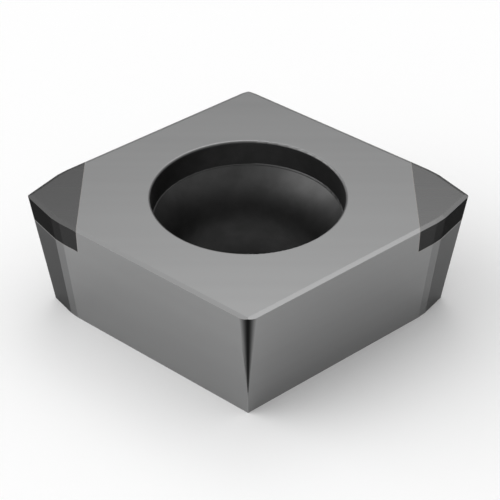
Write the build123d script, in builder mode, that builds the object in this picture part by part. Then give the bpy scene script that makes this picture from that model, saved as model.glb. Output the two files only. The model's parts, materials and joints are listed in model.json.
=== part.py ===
from build123d import *
import math
import os

# Turning insert: an 80 degree rhombic carbide body with a superhard tip brazed into each acute corner.
# Millimetres. Z is up, the origin is the centre of the seating face, X runs along the long diagonal.

# Blank, sized at its sharp top outline
inscribed_circle = 9.525
corner_angle = 80.0
thickness = 3.97
clearance_angle = 7.0
obtuse_radius = 0.4

# Nose of each acute corner: a straight nose edge, a narrow wiper edge, then the main edge
nose_trim = 0.605
nose_edge_turn = 14.3
nose_radius = 0.13
wiper_turn = 5.3
wiper_length = 0.39

# Land ground along the whole cutting edge
land_width = 0.14
land_angle = 20.0

# Superhard tips and the layer of filler that holds them
tip_length = 1.655
tip_thickness = 0.89
filler_layer = 0.02

# Screw hole, from the top down: rounded rim, head recess, curved seat, neck, flared relief
rim_radius = 0.08
recess_radius = 3.0
recess_depth = 0.88
recess_corner = 0.05
neck_radius = 2.2
neck_length = 0.2
relief_depth = 0.8
relief_angle = 6.5


def sine(degrees):
    return math.sin(math.radians(degrees))


def cosine(degrees):
    return math.cos(math.radians(degrees))


def tangent(degrees):
    return math.tan(math.radians(degrees))


# Sharp top outline of one quarter. Its edges lean back from the X axis by these angles.
main_lean = corner_angle / 2
nose_lean = main_lean + nose_edge_turn
edge_distance = inscribed_circle / 2
nose_reach = edge_distance / sine(main_lean) - nose_trim
obtuse_reach = edge_distance / cosine(main_lean)


def back_along(point, lean, distance):
    """The point that lies a distance back from the nose, on an edge with this lean."""
    return (point[0] - distance * cosine(lean), point[1] + distance * sine(lean))


nose_point = (nose_reach, 0)
nose_edge_run = (edge_distance - nose_reach * sine(main_lean)) / sine(nose_edge_turn)
wiper_on_nose_edge = wiper_length * sine(wiper_turn) / sine(nose_edge_turn)
wiper_on_main_edge = wiper_length * sine(nose_edge_turn - wiper_turn) / sine(nose_edge_turn)
wiper_front = back_along(nose_point, nose_lean, nose_edge_run - wiper_on_nose_edge)
wiper_back = back_along(back_along(nose_point, nose_lean, nose_edge_run), main_lean, wiper_on_main_edge)
obtuse_point = (0, obtuse_reach)


def leaning_form(level, lean):
    """The top outline as a prism, its sides then turned about this level to lean inwards by this angle."""
    with BuildPart() as form:
        with BuildSketch(Plane.XY.offset(thickness)):
            with BuildLine():
                Polyline(nose_point, wiper_front, wiper_back, obtuse_point)
                mirror(about=Plane.YZ)
                mirror(about=Plane.XZ)
            make_face()
        extrude(amount=-thickness)
        draft(form.faces().filter_by(Axis.Z, reverse=True), Plane.XY.offset(level), lean)
    return form.part


# Obtuse corner that points along +Y: its sharp stock, and the rounded wedge that takes its place.
# The clearance is the same all round, so the rounding is a cone. Its radius shrinks on the way down and
# runs out where the two flanks meet in a sharp edge.
cone_length = obtuse_radius / tangent(clearance_angle)
cone_tip = (0, obtuse_reach - obtuse_radius / cosine(main_lean), thickness - cone_length)
stock_side = 2 * obtuse_radius

with BuildPart() as obtuse_stock:
    with BuildSketch(Plane(cone_tip)):
        with BuildLine():
            Polyline(
                (0, 0),
                (stock_side * sine(main_lean), stock_side * cosine(main_lean)),
                (0, stock_side / cosine(main_lean)),
                (-stock_side * sine(main_lean), stock_side * cosine(main_lean)),
                close=True,
            )
        make_face()
    extrude(amount=cone_length)

with BuildPart() as obtuse_wedge:
    with BuildSketch(Plane(cone_tip, x_dir=(0, 1, 0), z_dir=(1, 0, 0))):
        with BuildLine():
            Polyline((0, 0), (obtuse_radius, cone_length), (0, cone_length), close=True)
        make_face()
    revolve(axis=Axis(cone_tip, (0, 0, 1)))
    add(obtuse_stock.part, mode=Mode.INTERSECT)

# The land's planes meet the vertical walls of the outline at this level
land_level = thickness - land_width * tangent(land_angle)

# Hole levels
ledge_level = thickness - recess_depth
ledge_radius = recess_radius - recess_corner
neck_top = relief_depth + neck_length
relief_radius = neck_radius + relief_depth * tangent(relief_angle)

# Whole insert before it is divided: body and tips are ground together, flanks first and land last
with BuildPart() as blank:
    add(leaning_form(thickness, -clearance_angle))
    fillet(blank.edges().filter_by_position(Axis.Y, -nose_radius, nose_radius), nose_radius)
    with PolarLocations(0, 2):
        add(obtuse_stock.part, mode=Mode.SUBTRACT)
        add(obtuse_wedge.part)
    add(leaning_form(land_level, 90 - land_angle), mode=Mode.INTERSECT)
    with BuildSketch(Plane.XZ):
        with BuildLine():
            Polyline((0, 0), (0, thickness), (recess_radius + rim_radius, thickness))
            TangentArc(
                (recess_radius, thickness - rim_radius),
                (recess_radius + rim_radius, thickness),
                tangent=(0, 1),
            )
            Line((recess_radius, thickness - rim_radius), (recess_radius, ledge_level + recess_corner))
            TangentArc((recess_radius, ledge_level + recess_corner), (ledge_radius, ledge_level), tangent=(0, -1))
            TangentArc((neck_radius, neck_top), (ledge_radius, ledge_level), tangent=(0, 1))
            Polyline((neck_radius, neck_top), (neck_radius, relief_depth), (relief_radius, 0), (0, 0))
        make_face()
    revolve(axis=Axis.Z, mode=Mode.SUBTRACT)

# Tips and their pockets: each is what lies past a wall and above a floor, at one end
tip_wall = nose_reach - tip_length
tip_floor = thickness - tip_thickness


def end_block(margin):
    """What lies past the wall and above the floor of the right tip, grown inwards by the margin."""
    with BuildPart() as block:
        with BuildSketch(Plane.XY.offset(tip_floor - margin)):
            with Locations((tip_wall - margin, 0)):
                Rectangle(2 * tip_length, 2 * inscribed_circle, align=(Align.MIN, Align.CENTER))
        extrude(amount=2 * tip_thickness)
    return block.part


tip_block = end_block(0)
pocket_block = end_block(filler_layer)
half_turn = (0, 0, 180)

with BuildPart() as insert_body:
    add(blank.part)
    add(pocket_block, mode=Mode.SUBTRACT)
    add(pocket_block, rotation=half_turn, mode=Mode.SUBTRACT)

with BuildPart() as cutting_tip_right:
    add(blank.part)
    add(tip_block, mode=Mode.INTERSECT)

with BuildPart() as cutting_tip_left:
    add(blank.part)
    add(tip_block, rotation=half_turn, mode=Mode.INTERSECT)

with BuildPart() as braze_right:
    add(blank.part)
    add(pocket_block, mode=Mode.INTERSECT)
    add(tip_block, mode=Mode.SUBTRACT)

with BuildPart() as braze_left:
    add(blank.part)
    add(pocket_block, rotation=half_turn, mode=Mode.INTERSECT)
    add(tip_block, rotation=half_turn, mode=Mode.SUBTRACT)

insert_body.part.label = "insert_body"
cutting_tip_right.part.label = "cutting_tip_right"
cutting_tip_left.part.label = "cutting_tip_left"
braze_right.part.label = "braze_right"
braze_left.part.label = "braze_left"

os.makedirs("parts", exist_ok=True)
export_step(insert_body.part, "parts/insert_body.step")
export_step(cutting_tip_right.part, "parts/cutting_tip_right.step")
export_step(cutting_tip_left.part, "parts/cutting_tip_left.step")
export_step(braze_right.part, "parts/braze_right.step")
export_step(braze_left.part, "parts/braze_left.step")
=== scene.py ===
import json
import math

import bpy
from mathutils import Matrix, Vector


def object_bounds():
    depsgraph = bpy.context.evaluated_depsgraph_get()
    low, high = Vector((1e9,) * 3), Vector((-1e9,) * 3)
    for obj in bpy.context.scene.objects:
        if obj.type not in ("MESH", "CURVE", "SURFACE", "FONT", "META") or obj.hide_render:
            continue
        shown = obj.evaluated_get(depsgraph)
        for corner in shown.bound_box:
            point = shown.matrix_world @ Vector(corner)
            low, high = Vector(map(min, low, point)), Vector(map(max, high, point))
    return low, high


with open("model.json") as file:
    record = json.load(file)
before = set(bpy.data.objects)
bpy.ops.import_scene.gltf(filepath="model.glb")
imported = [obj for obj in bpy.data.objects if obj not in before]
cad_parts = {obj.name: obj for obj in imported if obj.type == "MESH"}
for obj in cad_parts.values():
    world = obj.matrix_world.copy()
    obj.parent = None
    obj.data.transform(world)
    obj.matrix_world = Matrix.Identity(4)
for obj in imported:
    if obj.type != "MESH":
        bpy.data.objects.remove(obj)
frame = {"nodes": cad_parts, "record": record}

cad_low, cad_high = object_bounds()
nodes = frame["nodes"]

# Patterns are written in millimetres; the scene is in metres.
MILLIMETRES = 1000.0

# Sizes of the insert that the finishes follow, in millimetres and degrees.
# What lies no higher than the seat level is the seat face.
TOP_LEVEL = cad_high[2] * MILLIMETRES
SEAT_LEVEL = 0.004
RECESS_RADIUS = 3.0
RIM_ROUNDING = 0.08
RIM_RADIUS = RECESS_RADIUS + RIM_ROUNDING
CLEARANCE_ANGLE = 7.0
CORNER_ANGLE = 80.0
CORNER_RADIUS = 0.4
CORNER_LENGTH = CORNER_RADIUS / math.tan(math.radians(CLEARANCE_ANGLE))
LEAST_CORNER_SPREAD = 0.0001

# Faces are told apart by their normals. The size of a normal's Z is 1 on the rake face, 0.94 on the land
# and 0.12 on a flank. The sidelong share of its level part is 0.64 on a main flank and 0.81 on a nose.
# Each pair runs from where a mask starts to where it is full.
FLANK_FROM_Z = (0.98, 0.96)
UPRIGHT_FROM_Z = (0.6, 0.5)
NOSE_FROM_SIDELONG = (0.665, 0.8)

# Offsets that give each flank a stretch of grinding pattern of its own: one to the right or left, the
# other to the back or front
RIGHT_OFFSET = 11.0
BACK_OFFSET = 23.0

# The share of broad streaks among the grinding marks
BROAD_SHARE = 0.35

# Edge break: rays per point, and how like the broken edge's normal is to the face's own
EDGE_SAMPLES = 6
EDGE_FROM_LIKENESS = (0.999, 0.93)

# Tints of the greys, positive for warm
CARBIDE_WARMTH = -0.003
FILLER_WARMTH = 0.03

# The camera's place and lens, solved from the photograph's edges
CAMERA_PLACE = (0.0000579, -0.044592, 0.034832)
CAMERA_PITCH = 36.483
CAMERA_LENS = 127.02
CAMERA_SENSOR = 36.0
CAMERA_NEAREST = 0.001
CAMERA_FARTHEST = 10.0

# World: an even sky, a pale glow round the horizon, and soft lights.
# Each light is its azimuth from +Y towards +X, elevation, sharpness and strength.
SKY_LEVEL = 0.42
HORIZON_GLOW = 0.37
HORIZON_HEIGHT = 0.1
SOFT_LIGHTS = [
    (-100.0, 30.0, 6.0, 1.5),
    (-75.0, 12.0, 8.0, 1.6),
    (0.0, 52.0, 40.0, 1.9),
    (0.0, 85.0, 22.0, 0.9),
    (41.0, 56.0, 22.0, 1.0),
    (94.0, 50.0, 22.0, 0.6),
]
FLOOR_WHITE = 0.985
FLOOR_REACH = 1.0


# Node helpers
def plug(tree, socket, value):
    """Links a socket to another one, or sets its value."""
    if isinstance(value, bpy.types.NodeSocket):
        tree.links.new(value, socket)
    elif value is not None:
        socket.default_value = value


def calculate(tree, operation, first, second=None):
    """A Math node. Returns its output."""
    node = tree.nodes.new("ShaderNodeMath")
    node.operation = operation
    plug(tree, node.inputs[0], first)
    plug(tree, node.inputs[1], second)
    return node.outputs["Value"]


def calculate_vector(tree, operation, first, second=None):
    """A Vector Math node. Returns its outputs, since some operations give a vector and some a value."""
    node = tree.nodes.new("ShaderNodeVectorMath")
    node.operation = operation
    plug(tree, node.inputs[0], first)
    plug(tree, node.inputs[1], second)
    return node.outputs


def split(tree, vector):
    """The three parts of a vector."""
    node = tree.nodes.new("ShaderNodeSeparateXYZ")
    plug(tree, node.inputs["Vector"], vector)
    return node.outputs["X"], node.outputs["Y"], node.outputs["Z"]


def join(tree, x, y, z):
    """A vector from its three parts."""
    node = tree.nodes.new("ShaderNodeCombineXYZ")
    plug(tree, node.inputs["X"], x)
    plug(tree, node.inputs["Y"], y)
    plug(tree, node.inputs["Z"], z)
    return node.outputs["Vector"]


def level_length(tree, x, y):
    """The length of a vector's level part."""
    squares = calculate(tree, "ADD", calculate(tree, "MULTIPLY", x, x), calculate(tree, "MULTIPLY", y, y))
    return calculate(tree, "SQRT", squares)


def in_millimetres(tree, place):
    """A place in metres turned into millimetres."""
    return calculate_vector(tree, "MULTIPLY", place, (MILLIMETRES,) * 3)["Vector"]


def between(tree, value, low, high, to_low=0.0, to_high=1.0):
    """A Map Range node with clamping. Returns its output."""
    node = tree.nodes.new("ShaderNodeMapRange")
    plug(tree, node.inputs["Value"], value)
    plug(tree, node.inputs["From Min"], low)
    plug(tree, node.inputs["From Max"], high)
    plug(tree, node.inputs["To Min"], to_low)
    plug(tree, node.inputs["To Max"], to_high)
    return node.outputs["Result"]


# A Mix node holds sockets of its own for each kind of value, under the same names, so those for vectors
# and colours are picked by number.
def blend_values(tree, mask, without, with_mask):
    """Mixes two values by a mask. Returns the output."""
    node = tree.nodes.new("ShaderNodeMix")
    node.data_type = "FLOAT"
    plug(tree, node.inputs["Factor"], mask)
    plug(tree, node.inputs["A"], without)
    plug(tree, node.inputs["B"], with_mask)
    return node.outputs["Result"]


def blend_vectors(tree, mask, without, with_mask):
    """Mixes two vectors by a mask. Returns the output."""
    node = tree.nodes.new("ShaderNodeMix")
    node.data_type = "VECTOR"
    plug(tree, node.inputs[0], mask)
    plug(tree, node.inputs[4], without)
    plug(tree, node.inputs[5], with_mask)
    return node.outputs[1]


def blend_colours(tree, mask, without, with_mask):
    """Mixes two colours by a mask. Returns the output."""
    node = tree.nodes.new("ShaderNodeMix")
    node.data_type = "RGBA"
    plug(tree, node.inputs[0], mask)
    plug(tree, node.inputs[6], without)
    plug(tree, node.inputs[7], with_mask)
    return node.outputs[2]


def noise(tree, vector, scale, detail, roughness):
    """A Noise Texture. Returns its 0 to 1 output."""
    node = tree.nodes.new("ShaderNodeTexNoise")
    plug(tree, node.inputs["Vector"], vector)
    plug(tree, node.inputs["Scale"], scale)
    plug(tree, node.inputs["Detail"], detail)
    plug(tree, node.inputs["Roughness"], roughness)
    return node.outputs["Fac"]


def bump(tree, height, strength, distance, normal=None):
    """A Bump node, its distance in metres. Returns its normal."""
    node = tree.nodes.new("ShaderNodeBump")
    plug(tree, node.inputs["Strength"], strength)
    plug(tree, node.inputs["Distance"], distance)
    plug(tree, node.inputs["Height"], height)
    plug(tree, node.inputs["Normal"], normal)
    return node.outputs["Normal"]


def new_group(name, inputs, outputs):
    """An empty shader node group with named sockets. Returns the tree and its two end nodes."""
    tree = bpy.data.node_groups.new(name, "ShaderNodeTree")
    for socket_name, kind in inputs:
        tree.interface.new_socket(name=socket_name, in_out="INPUT", socket_type=kind)
    for socket_name, kind in outputs:
        tree.interface.new_socket(name=socket_name, in_out="OUTPUT", socket_type=kind)
    return tree, tree.nodes.new("NodeGroupInput"), tree.nodes.new("NodeGroupOutput")


def use_group(tree, group, **values):
    """Places a group in a node tree and sets its inputs. Returns the node."""
    node = tree.nodes.new("ShaderNodeGroup")
    node.node_tree = group
    for name, value in values.items():
        plug(tree, node.inputs[name], value)
    return node


FLOAT = "NodeSocketFloat"
VECTOR = "NodeSocketVector"


# Effects shared by the finishes
def make_insert_regions():
    """Where a point lies on the insert, as masks, and its place in millimetres.

    Hole: the screw hole from its rounded rim down, without the seat face. Corner: the rounded obtuse
    corners, strongest in the middle of the rounding, where a line of painted shade goes. Flank: the
    clearance faces and the land along the cutting edge. Upright: the steep faces, without the land. Nose:
    how far a flank belongs to the nose, 0 on the main edge. Right: the half with the right tip.
    """
    tree, _, ends_out = new_group(
        "insert regions",
        [],
        [("Place", VECTOR), ("Flank Place", VECTOR), ("Hole", FLOAT), ("Corner", FLOAT), ("Flank", FLOAT),
         ("Upright", FLOAT), ("Nose", FLOAT), ("Right", FLOAT)],
    )
    coordinates = tree.nodes.new("ShaderNodeTexCoord")
    place = in_millimetres(tree, coordinates.outputs["Object"])
    x, y, z = split(tree, place)
    face_x, face_y, face_z = split(tree, coordinates.outputs["Normal"])
    sideways = calculate(tree, "ABSOLUTE", x)
    radius = level_length(tree, x, y)
    flatness = calculate(tree, "ABSOLUTE", face_z)
    upright = between(tree, flatness, *UPRIGHT_FROM_Z)

    inside = between(tree, radius, RIM_RADIUS, RECESS_RADIUS)
    above_seat = calculate(tree, "GREATER_THAN", z, SEAT_LEVEL)
    hole = calculate(tree, "MULTIPLY", inside, above_seat)
    outside = calculate(tree, "GREATER_THAN", radius, RIM_RADIUS)

    # The rounding of an obtuse corner is a cone that runs out to nothing on the way down
    half = math.radians(CORNER_ANGLE / 2)
    full_spread = CORNER_RADIUS * math.sin(half)
    spread = between(tree, z, TOP_LEVEL - CORNER_LENGTH, TOP_LEVEL, LEAST_CORNER_SPREAD, full_spread)
    share = calculate(tree, "MINIMUM", calculate(tree, "DIVIDE", sideways, spread), 1.0)
    middle = calculate(tree, "SUBTRACT", 1.0, calculate(tree, "MULTIPLY", share, share))
    corner = calculate(tree, "MULTIPLY", calculate(tree, "MULTIPLY", middle, upright), outside)

    flank = calculate(tree, "MULTIPLY", outside, between(tree, flatness, *FLANK_FROM_Z))
    sidelong = calculate(tree, "DIVIDE", calculate(tree, "ABSOLUTE", face_x),
                         level_length(tree, face_x, face_y))
    nose = calculate(tree, "MULTIPLY", between(tree, sidelong, *NOSE_FROM_SIDELONG), flank)
    right = calculate(tree, "GREATER_THAN", x, 0.0)

    # Along each flank and up it, mirrored from one quarter to the others
    along = calculate(tree, "SUBTRACT", calculate(tree, "MULTIPLY", sideways, math.cos(half)),
                      calculate(tree, "MULTIPLY", calculate(tree, "ABSOLUTE", y), math.sin(half)))
    side = calculate(tree, "ADD", calculate(tree, "MULTIPLY", calculate(tree, "SIGN", x), RIGHT_OFFSET),
                     calculate(tree, "MULTIPLY", calculate(tree, "SIGN", y), BACK_OFFSET))
    regions = {
        "Place": place,
        "Flank Place": join(tree, along, z, side),
        "Hole": hole,
        "Corner": corner,
        "Flank": flank,
        "Upright": upright,
        "Nose": nose,
        "Right": right,
    }
    for name, value in regions.items():
        plug(tree, ends_out.inputs[name], value)
    return tree


def make_grinding_marks():
    """Fine parallel marks of a grinding wheel. They run along the vector's first axis."""
    tree, ends_in, ends_out = new_group(
        "grinding marks",
        [("Vector", VECTOR), ("Pitch", FLOAT), ("Length", FLOAT)],
        [("Height", FLOAT), ("Streaks", FLOAT)],
    )
    lengthwise = calculate(tree, "DIVIDE", 1.0, ends_in.outputs["Length"])
    across = calculate(tree, "DIVIDE", 1.0, ends_in.outputs["Pitch"])
    stretch = join(tree, lengthwise, across, 1.0)
    stretched = calculate_vector(tree, "MULTIPLY", ends_in.outputs["Vector"], stretch)["Vector"]
    fine = noise(tree, stretched, scale=0.5, detail=2.0, roughness=0.6)
    broad = noise(tree, stretched, scale=0.07, detail=0.0, roughness=0.5)
    plug(tree, ends_out.inputs["Height"], blend_values(tree, BROAD_SHARE, fine, broad))
    plug(tree, ends_out.inputs["Streaks"], between(tree, broad, 0.1, 0.9))
    return tree


def make_sintered_skin():
    """The fine mottled skin that a carbide surface has straight from the sintering furnace."""
    tree, ends_in, ends_out = new_group(
        "sintered skin",
        [("Vector", VECTOR), ("Grain", FLOAT)],
        [("Height", FLOAT), ("Mottle", FLOAT)],
    )
    fineness = calculate(tree, "DIVIDE", 1.0, ends_in.outputs["Grain"])
    grains = noise(tree, ends_in.outputs["Vector"], scale=fineness, detail=3.0, roughness=0.6)
    clouds = noise(tree, ends_in.outputs["Vector"], scale=1.7, detail=3.0, roughness=0.55)
    plug(tree, ends_out.inputs["Height"], grains)
    plug(tree, ends_out.inputs["Mottle"], between(tree, clouds, 0.3, 0.7))
    return tree


def make_round_rim():
    """A mask of the recess's rounded rim, and its normal, which turns evenly from the wall to the top."""
    tree, _, ends_out = new_group("round rim", [], [("Rim", FLOAT), ("Normal", VECTOR)])
    coordinates = tree.nodes.new("ShaderNodeTexCoord")
    x, y, z = split(tree, in_millimetres(tree, coordinates.outputs["Object"]))
    radius = level_length(tree, x, y)
    inwards = calculate(tree, "SUBTRACT", RIM_RADIUS, radius)
    upwards = calculate(tree, "SUBTRACT", z, TOP_LEVEL - RIM_ROUNDING)
    rim = calculate(tree, "MULTIPLY", calculate(tree, "GREATER_THAN", inwards, 0.0),
                    calculate(tree, "GREATER_THAN", upwards, 0.0))

    # The normal points from the middle of the rounding to the point
    towards_axis = calculate(tree, "MULTIPLY", calculate(tree, "DIVIDE", inwards, radius), -1.0)
    from_middle = join(tree, calculate(tree, "MULTIPLY", x, towards_axis),
                       calculate(tree, "MULTIPLY", y, towards_axis), upwards)
    turn = tree.nodes.new("ShaderNodeVectorTransform")
    turn.vector_type = "NORMAL"
    turn.convert_from = "OBJECT"
    turn.convert_to = "WORLD"
    plug(tree, turn.inputs["Vector"], from_middle)
    normal = calculate_vector(tree, "NORMALIZE", turn.outputs["Vector"])["Vector"]
    plug(tree, ends_out.inputs["Rim"], rim)
    plug(tree, ends_out.inputs["Normal"], normal)
    return tree


def make_edge_break():
    """A mask of the sharp edges, which handling and grinding have rounded. The width is in metres."""
    tree, ends_in, ends_out = new_group("edge break", [("Width", FLOAT)], [("Edge", FLOAT)])
    bevel = tree.nodes.new("ShaderNodeBevel")
    bevel.samples = EDGE_SAMPLES
    plug(tree, bevel.inputs["Radius"], ends_in.outputs["Width"])
    geometry = tree.nodes.new("ShaderNodeNewGeometry")
    likeness = calculate_vector(tree, "DOT_PRODUCT", bevel.outputs["Normal"], geometry.outputs["Normal"])
    plug(tree, ends_out.inputs["Edge"], between(tree, likeness["Value"], *EDGE_FROM_LIKENESS))
    return tree


REGIONS = make_insert_regions()
GRINDING = make_grinding_marks()
SINTERED = make_sintered_skin()
ROUND_RIM = make_round_rim()
EDGE_BREAK = make_edge_break()


# Finishes
def new_material(name):
    """A material with the Principled shader. Returns it, its node tree and that shader."""
    material = bpy.data.materials.new(name)
    material.use_nodes = True
    tree = material.node_tree
    return material, tree, tree.nodes["Principled BSDF"]


def grey(value, warmth=0.0):
    """A neutral colour, a little warmer or cooler."""
    return (value * (1.0 + warmth), value, value * (1.0 - warmth), 1.0)


def patterned_grey(tree, pattern, darker, paler, warmth=0.0):
    """A grey that moves between a darker and a paler one with a pattern."""
    return blend_colours(tree, pattern, grey(darker, warmth), grey(paler, warmth))


def ground_all_round(tree, where, pitch, length):
    """Grinding marks on the rake face, the seat and each flank. Returns their streaks and their height."""
    on_rake = use_group(tree, GRINDING, Vector=where.outputs["Place"], Pitch=pitch, Length=length)
    on_flank = use_group(tree, GRINDING, Vector=where.outputs["Flank Place"], Pitch=pitch, Length=length)
    flank = where.outputs["Flank"]
    streaks = blend_values(tree, flank, on_rake.outputs["Streaks"], on_flank.outputs["Streaks"])
    height = blend_values(tree, flank, on_rake.outputs["Height"], on_flank.outputs["Height"])
    return streaks, height


def make_cemented_carbide():
    """The body: ground on the rake face, the flanks and the seat, left as sintered in the hole, with
    painted shade in the hole, on the noses and down the corners.
    """
    material, tree, shader = new_material("cemented_carbide_ground")
    where = use_group(tree, REGIONS)
    streaks, marks = ground_all_round(tree, where, pitch=0.025, length=15.0)
    skin = use_group(tree, SINTERED, Vector=where.outputs["Place"], Grain=0.035)
    edge = use_group(tree, EDGE_BREAK, Width=0.000012)
    hole = where.outputs["Hole"]

    rake_tone = patterned_grey(tree, streaks, 0.318, 0.330, CARBIDE_WARMTH)
    flank_tone = patterned_grey(tree, streaks, 0.306, 0.318, CARBIDE_WARMTH)
    tone = blend_colours(tree, where.outputs["Upright"], rake_tone, flank_tone)
    # Painted shade: the nose faces are painted darker than the main flanks, and the left nose darker than
    # the right, as light falls on them
    left_nose_painted_shade = patterned_grey(tree, streaks, 0.104, 0.112, CARBIDE_WARMTH)
    right_nose_painted_shade = patterned_grey(tree, streaks, 0.172, 0.182, CARBIDE_WARMTH)
    painted_nose_shade = blend_colours(tree, where.outputs["Right"], left_nose_painted_shade, right_nose_painted_shade)
    tone = blend_colours(tree, where.outputs["Nose"], tone, painted_nose_shade)
    tone = blend_colours(tree, edge.outputs["Edge"], tone, grey(0.40, CARBIDE_WARMTH))
    # Painted shade: a near-black line is painted down each obtuse corner's rounding
    tone = blend_colours(tree, where.outputs["Corner"], tone, grey(0.008))
    # Partly painted: the hole and its rounded rim take the duller as-sintered skin, painted darker still as
    # shade in the recess
    skin_and_shade_tone = patterned_grey(tree, skin.outputs["Mottle"], 0.08, 0.10)
    plug(tree, shader.inputs["Base Color"], blend_colours(tree, hole, tone, skin_and_shade_tone))
    plug(tree, shader.inputs["Metallic"], 1.0)
    plug(tree, shader.inputs["Specular Tint"], grey(0.5))

    ground_roughness = between(tree, streaks, 0.0, 1.0, 0.272, 0.29)
    skin_roughness = between(tree, skin.outputs["Height"], 0.3, 0.7, 0.42, 0.5)
    plug(tree, shader.inputs["Roughness"], blend_values(tree, hole, ground_roughness, skin_roughness))

    relief = blend_values(tree, hole, marks, skin.outputs["Height"])
    rim = use_group(tree, ROUND_RIM)
    geometry = tree.nodes.new("ShaderNodeNewGeometry")
    smooth = blend_vectors(tree, rim.outputs["Rim"], geometry.outputs["Normal"], rim.outputs["Normal"])
    normal = bump(tree, relief, strength=0.12, distance=0.0000015, normal=smooth)
    plug(tree, shader.inputs["Normal"], normal)
    return material


def make_superhard_tip():
    """The tips: dark cubic boron nitride, ground to a finer finish than the body, with painted shade on the
    noses and a painted paler right tip.
    """
    material, tree, shader = new_material("superhard_tip_ground")
    where = use_group(tree, REGIONS)
    streaks, marks = ground_all_round(tree, where, pitch=0.02, length=10.0)
    skin = use_group(tree, SINTERED, Vector=where.outputs["Place"], Grain=0.012)
    edge = use_group(tree, EDGE_BREAK, Width=0.00001)
    grain = skin.outputs["Height"]

    # Painted light: the right tip is painted a little paler than the left one, as light falls on it
    left_tone = patterned_grey(tree, grain, 0.118, 0.15)
    right_tip_painted_paler = patterned_grey(tree, grain, 0.172, 0.21)
    rake_tone = blend_colours(tree, where.outputs["Right"], left_tone, right_tip_painted_paler)
    flank_tone = patterned_grey(tree, grain, 0.05, 0.066)
    # Painted shade: the tips' nose faces are painted darker than their flanks
    painted_nose_shade = patterned_grey(tree, grain, 0.026, 0.034)
    tone = blend_colours(tree, where.outputs["Upright"], rake_tone, flank_tone)
    nose_on_flank = calculate(tree, "MULTIPLY", where.outputs["Nose"], where.outputs["Upright"])
    tone = blend_colours(tree, nose_on_flank, tone, painted_nose_shade)
    tone = blend_colours(tree, edge.outputs["Edge"], tone, grey(0.17))
    plug(tree, shader.inputs["Base Color"], tone)
    plug(tree, shader.inputs["Metallic"], 1.0)
    plug(tree, shader.inputs["Specular Tint"], grey(0.4))
    plug(tree, shader.inputs["Roughness"], between(tree, streaks, 0.0, 1.0, 0.26, 0.28))
    plug(tree, shader.inputs["Normal"], bump(tree, marks, strength=0.1, distance=0.000001))
    return material


def make_braze_filler():
    """The line of filler between tip and body, ground flush with both."""
    material, tree, shader = new_material("braze_filler_ground")
    where = use_group(tree, REGIONS)
    skin = use_group(tree, SINTERED, Vector=where.outputs["Place"], Grain=0.02)
    tone = patterned_grey(tree, skin.outputs["Mottle"], 0.27, 0.31, FILLER_WARMTH)
    plug(tree, shader.inputs["Base Color"], tone)
    plug(tree, shader.inputs["Metallic"], 1.0)
    plug(tree, shader.inputs["Roughness"], between(tree, skin.outputs["Height"], 0.3, 0.7, 0.28, 0.34))
    return material


finishes = {
    "cemented_carbide": make_cemented_carbide(),
    "superhard_tip": make_superhard_tip(),
    "braze_filler": make_braze_filler(),
}
for entry in frame["record"]["subparts"]:
    for slot in nodes[entry["node"]].material_slots:
        slot.material = finishes[entry["material_slot"]]


# Camera
lens = bpy.data.cameras.new("camera")
lens.lens = CAMERA_LENS
lens.sensor_width = CAMERA_SENSOR
lens.clip_start = CAMERA_NEAREST
lens.clip_end = CAMERA_FARTHEST
camera = bpy.data.objects.new("camera", lens)
camera.location = CAMERA_PLACE
camera.rotation_euler = (math.radians(90.0 - CAMERA_PITCH), 0.0, 0.0)
bpy.context.scene.collection.objects.link(camera)
bpy.context.scene.camera = camera


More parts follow.
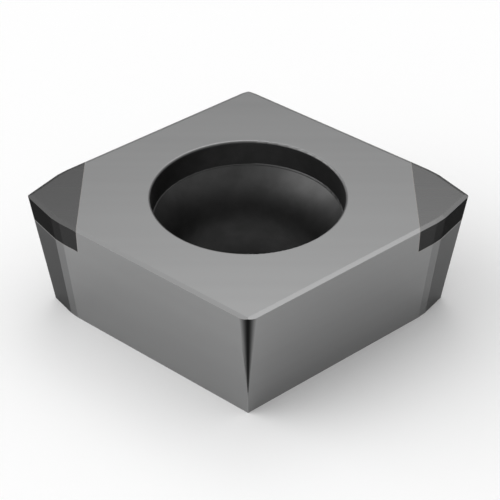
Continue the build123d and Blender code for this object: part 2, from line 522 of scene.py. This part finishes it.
# Light
def make_soft_light():
    """One soft round light of the world, as the strength seen in a direction."""
    tree, ends_in, ends_out = new_group(
        "soft light",
        [("Direction", VECTOR), ("Towards", VECTOR), ("Sharpness", FLOAT), ("Strength", FLOAT)],
        [("Light", FLOAT)],
    )
    facing = calculate_vector(tree, "DOT_PRODUCT", ends_in.outputs["Direction"], ends_in.outputs["Towards"])
    away = calculate(tree, "SUBTRACT", facing["Value"], 1.0)
    falloff = calculate(tree, "EXPONENT", calculate(tree, "MULTIPLY", away, ends_in.outputs["Sharpness"]))
    plug(tree, ends_out.inputs["Light"], calculate(tree, "MULTIPLY", falloff, ends_in.outputs["Strength"]))
    return tree


def make_world():
    """An even sky with large soft lights in it, paler near the horizon."""
    world = bpy.data.worlds.new("studio")
    world.use_nodes = True
    tree = world.node_tree
    background = tree.nodes["Background"]
    direction = tree.nodes.new("ShaderNodeTexCoord").outputs["Generated"]
    _, _, rise = split(tree, direction)
    height = calculate(tree, "DIVIDE", calculate(tree, "ABSOLUTE", rise), -HORIZON_HEIGHT)
    glow = calculate(tree, "MULTIPLY", calculate(tree, "EXPONENT", height), HORIZON_GLOW)
    total = calculate(tree, "ADD", glow, SKY_LEVEL)
    soft_light = make_soft_light()
    for azimuth, elevation, sharpness, strength in SOFT_LIGHTS:
        around, up = math.radians(azimuth), math.radians(elevation)
        towards = (math.sin(around) * math.cos(up), math.cos(around) * math.cos(up), math.sin(up))
        light = use_group(tree, soft_light, Direction=direction, Towards=towards,
                          Sharpness=sharpness, Strength=strength)
        total = calculate(tree, "ADD", light.outputs["Light"], total)
    plug(tree, background.inputs["Color"], (1.0, 1.0, 1.0, 1.0))
    plug(tree, background.inputs["Strength"], total)
    return world


bpy.context.scene.world = make_world()
bpy.context.scene.view_settings.view_transform = "Standard"


# Floor
def make_floor():
    """A plain white floor that keeps the object's shadow."""
    mesh = bpy.data.meshes.new("floor")
    corners = [(x * FLOOR_REACH, y * FLOOR_REACH, 0) for x, y in ((-1, -1), (1, -1), (1, 1), (-1, 1))]
    mesh.from_pydata(corners, [], [(0, 1, 2, 3)])
    floor = bpy.data.objects.new("floor", mesh)
    bpy.context.scene.collection.objects.link(floor)
    material, tree, shader = new_material("floor_white")
    plug(tree, shader.inputs["Base Color"], (FLOOR_WHITE, FLOOR_WHITE, FLOOR_WHITE, 1.0))
    plug(tree, shader.inputs["Roughness"], 1.0)
    plug(tree, shader.inputs["Specular IOR Level"], 0.0)
    mesh.materials.append(material)


make_floor()
